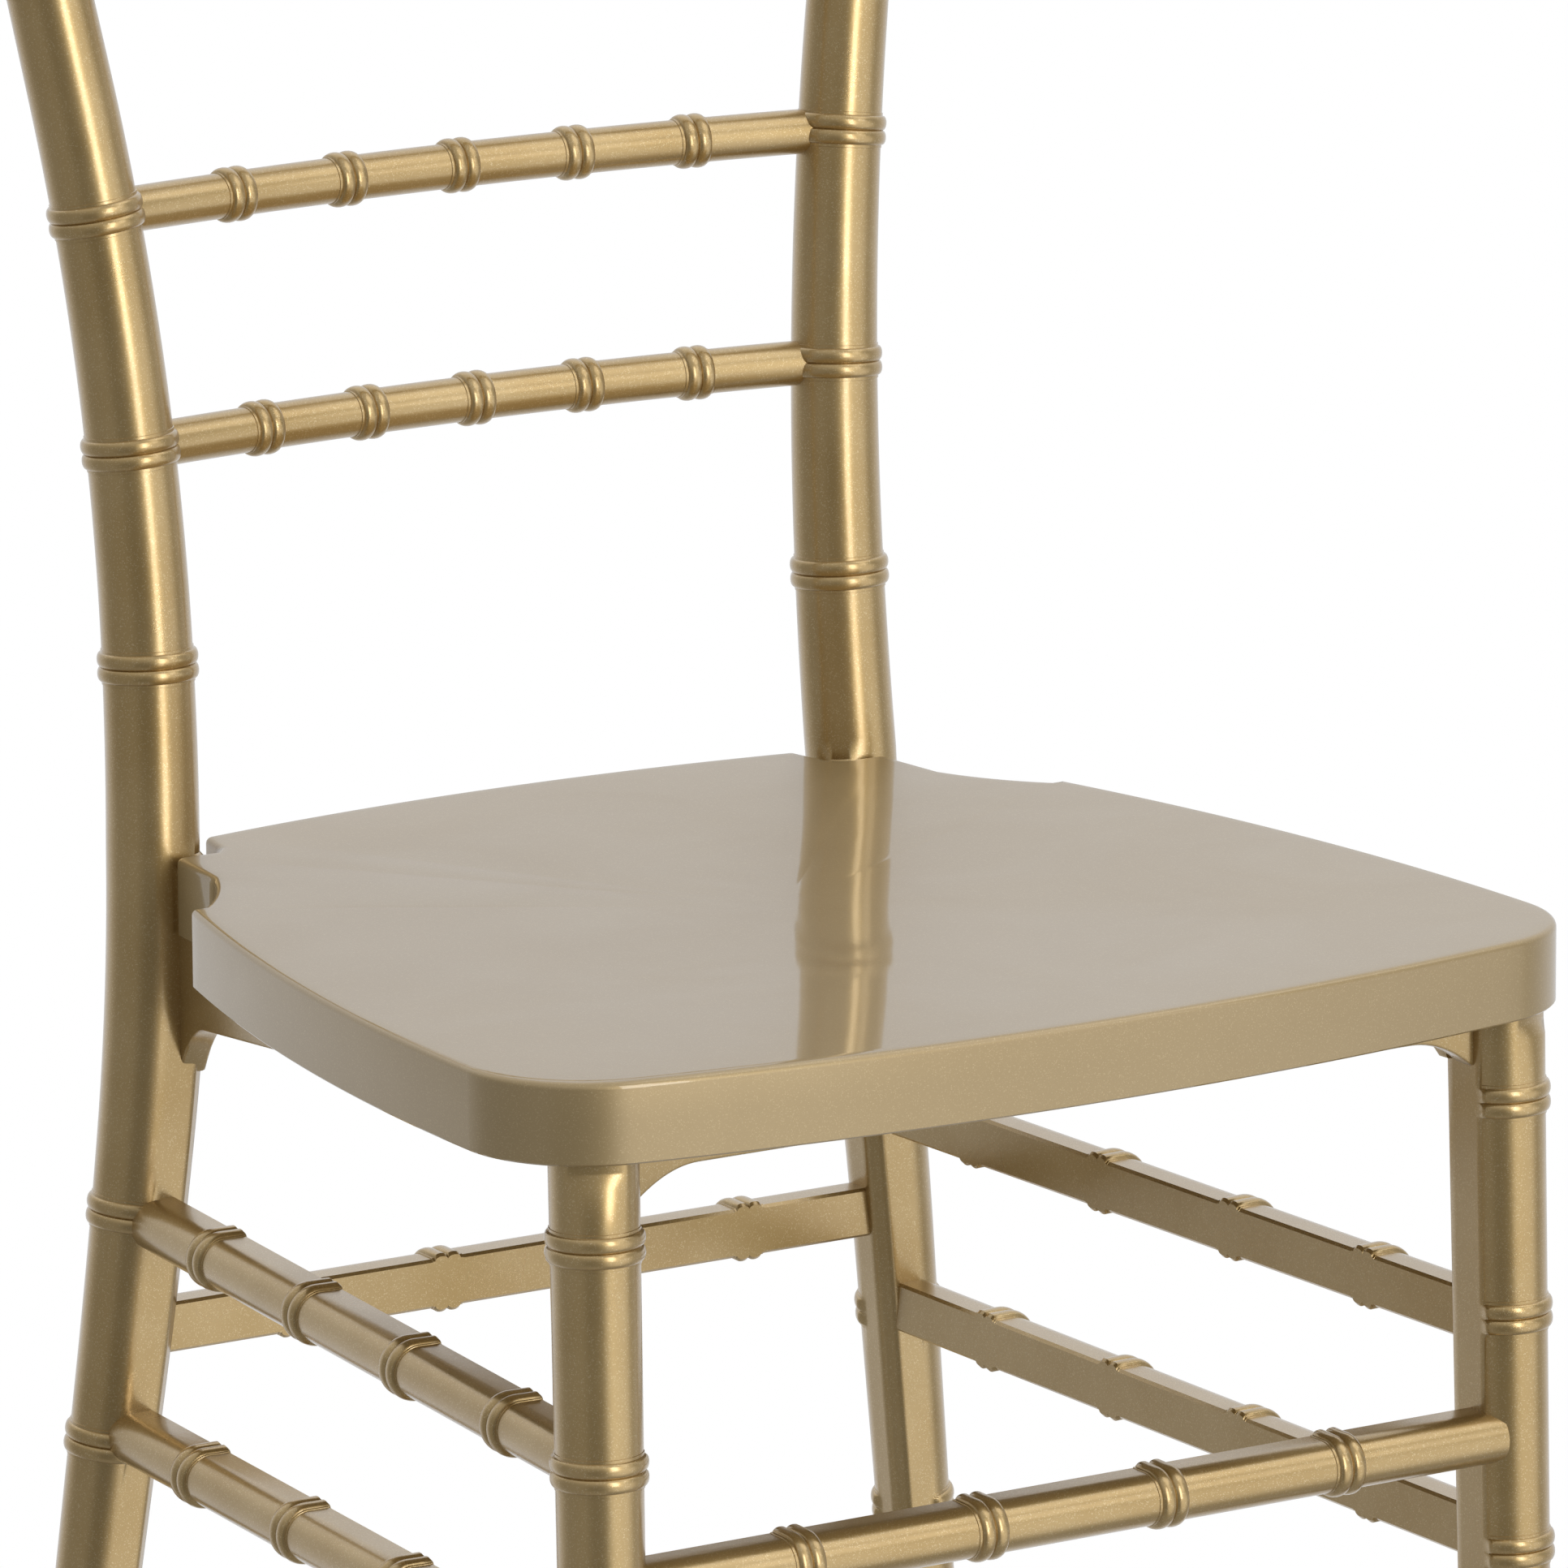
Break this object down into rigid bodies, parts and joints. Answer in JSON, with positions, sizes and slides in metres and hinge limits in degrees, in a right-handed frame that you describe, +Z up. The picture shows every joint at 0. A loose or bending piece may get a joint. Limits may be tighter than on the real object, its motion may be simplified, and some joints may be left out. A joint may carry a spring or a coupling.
{
  "type": "dining chair",
  "caption": "Gold moulded chair with bamboo-ringed posts, legs and stretchers, slatted back and hollow seat.",
  "frame": {"origin": "centre of the chair's footprint box, on the floor", "axes": "+Z up, -Y towards the front edge of the seat, +X to the right as seen from the front"},
  "size_m": [0.4092, 0.4609, 0.9099],
  "materials": {
    "gold_body": "pearlescent gold pigment in the resin, satin gloss",
    "gold_seat": "pearlescent gold pigment in the resin, glossy top",
    "screw_steel": "zinc plated, bright",
    "glide_plastic": "matt black"
  },
  "bodies": {
    "root": {"front_leg_left": "gold_body", "rear_post_left": "gold_body", "front_leg_right": "gold_body", "rear_post_right": "gold_body", "slat_lower": "gold_body", "slat_upper": "gold_body", "spindle_rail": "gold_body", "crest_rail": "gold_body", "spindle_1": "gold_body", "spindle_2": "gold_body", "spindle_3": "gold_body", "spindle_4": "gold_body", "spindle_5": "gold_body", "spindle_6": "gold_body", "stretcher_left_upper": "gold_body", "stretcher_left_lower": "gold_body", "stretcher_right_upper": "gold_body", "stretcher_right_lower": "gold_body", "stretcher_front": "gold_body", "stretcher_rear": "gold_body", "seat_rail_front": "gold_body", "seat_rail_rear": "gold_body", "seat_rail_left": "gold_body", "seat_rail_right": "gold_body", "seat_panel": "gold_seat", "corner_block_front_left": "gold_body", "corner_block_front_right": "gold_body", "corner_block_rear_left": "gold_body", "corner_block_rear_right": "gold_body", "seat_screws": "screw_steel", "glide_front_left": "glide_plastic", "glide_front_right": "glide_plastic", "glide_rear_left": "glide_plastic", "glide_rear_right": "glide_plastic"}
  },
  "joints": []
}
